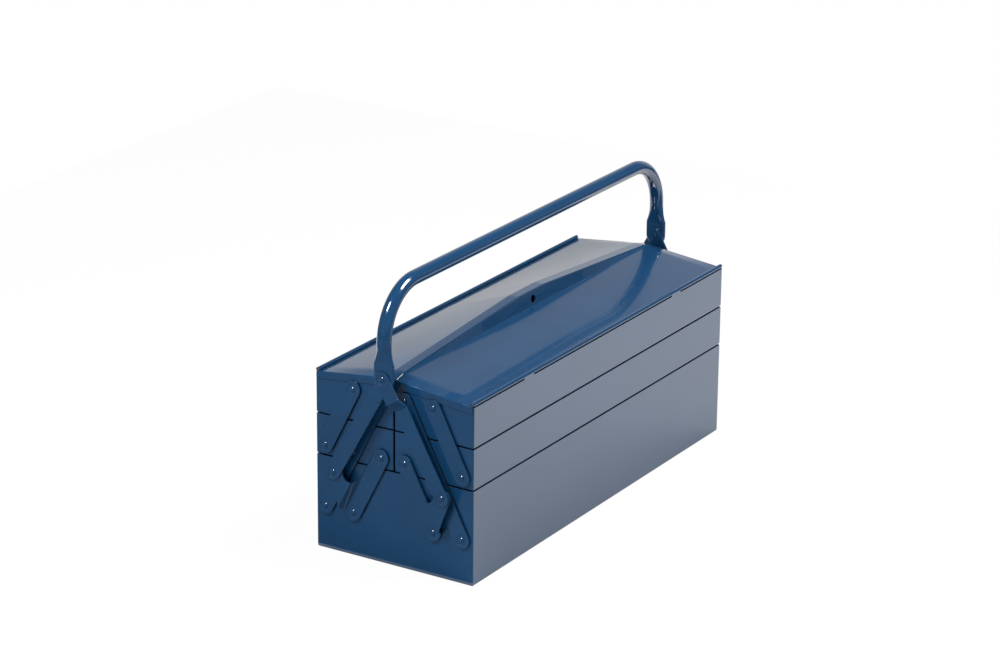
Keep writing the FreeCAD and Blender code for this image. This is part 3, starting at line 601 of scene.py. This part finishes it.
# Painted shadow: for reflections only, the paper's glow is dimmed near the box by occlusion
painted_shadow_near_box = add_node(tree, "AmbientOcclusion", {"Distance": COVER_REACH}, samples=8)
path = add_node(tree, "LightPath")
level = add_node(tree, "Mix")
level.inputs["A"].default_value = 1
tree.links.new(path.outputs["Is Glossy Ray"], level.inputs["Factor"])
tree.links.new(ranged(tree, painted_shadow_near_box.outputs["AO"], COVERED_TO_OPEN, MIRRORED_PAPER), level.inputs["B"])
white = add_node(tree, "Emission")
tree.links.new(level.outputs["Result"], white.inputs["Strength"])
shadow = add_node(tree, "BsdfDiffuse", {"Color": WHITE})
shade = add_node(tree, "MixShader", {"Fac": SHADOW_SHARE})
tree.links.new(white.outputs["Emission"], shade.inputs[1])
tree.links.new(shadow.outputs["BSDF"], shade.inputs[2])
seen_or_lit(tree, shade.outputs["Shader"], shader.outputs["BSDF"],
            tree.nodes["Material Output"].inputs["Surface"])
floor.data.materials.append(paper)

world = bpy.data.worlds.new("studio")
bpy.context.scene.world = world
world.use_nodes = True
tree = world.node_tree
around = tree.nodes["Background"]
around.inputs["Color"].default_value = WHITE
tree.links.new(studio_level(tree), around.inputs["Strength"])
backdrop = add_node(tree, "Background", {"Color": WHITE, "Strength": 1})
seen_or_lit(tree, backdrop.outputs["Background"], around.outputs["Background"],
            tree.nodes["World Output"].inputs["Surface"])

# Canopy and flags: a glowing dome round the table, a painted reflection of the studio, and dark cloth
# laid on it toward the camera up to the box's foot. Only reflections meet them.
CANOPY_RADIUS = 6
DARK_CLOTH = (0.05, 0.05, 0.05, 1)
FLAG_HEIGHT = 0.004
FLAGS = {"near_flag": ((-2.7705, 0), (5, 10)), "side_flag": ((2.2295, -2.9), (5, 4.8))}


def only_mirrored(thing, name, material):
    thing.name = name
    thing.data.materials.append(material)
    thing.visible_camera = False
    thing.visible_diffuse = False
    thing.visible_transmission = False
    thing.visible_shadow = False


# Painted reflection: the dome glows, brightest low and behind the box, and only the paint mirrors it
reflection_glow = bpy.data.materials.new("reflection_glow")
reflection_glow.use_nodes = True
reflection_glow.cycles.emission_sampling = "NONE"
tree = reflection_glow.node_tree
glow = add_node(tree, "Emission")
tree.links.new(studio_level(tree), glow.inputs["Strength"])
tree.links.new(glow.outputs["Emission"], tree.nodes["Material Output"].inputs["Surface"])
bpy.ops.mesh.primitive_uv_sphere_add(segments=64, ring_count=32, radius=CANOPY_RADIUS)
only_mirrored(bpy.context.active_object, "canopy", reflection_glow)

dark_cloth = bpy.data.materials.new("dark_cloth")
dark_cloth.use_nodes = True
shader = dark_cloth.node_tree.nodes["Principled BSDF"]
shader.inputs["Base Color"].default_value = DARK_CLOTH
shader.inputs["Roughness"].default_value = 1
for name, (middle, size) in FLAGS.items():
    bpy.ops.mesh.primitive_plane_add(size=1)
    flag = bpy.context.active_object
    flag.scale = (*size, 1)
    flag.location = (*middle, FLAG_HEIGHT)
    only_mirrored(flag, name, dark_cloth)

# Lamps: a small key over the near end, which puts the spark on each rivet, a broad fill that opens
# the shadows there and isn't mirrored, and a soft light from above over the front.
BOX_MIDDLE = (0, 0, 0.15)
NEAR_END = (-0.27, 0, 0.12)


def softbox(name, place, aim, size, watts):
    data = bpy.data.lights.new(name, "AREA")
    data.shape = "RECTANGLE"
    data.size, data.size_y = size
    data.energy = watts
    lamp = bpy.data.objects.new(name, data)
    bpy.context.collection.objects.link(lamp)
    lamp.location = place
    lamp.rotation_euler = (Vector(aim) - Vector(place)).to_track_quat("-Z", "Y").to_euler()
    return lamp


softbox("key", place=(-1.35, 0.2, 1.6), aim=BOX_MIDDLE, size=(0.5, 0.5), watts=25)
end_fill = softbox("end_fill", place=(-2.3, 0.2, 0.8), aim=NEAR_END, size=(1.4, 1), watts=15)
end_fill.visible_glossy = False
softbox("fill", place=(0.45, -1.15, 2.1), aim=BOX_MIDDLE, size=(0.9, 0.9), watts=68)

bpy.context.scene.view_settings.view_transform = "Standard"
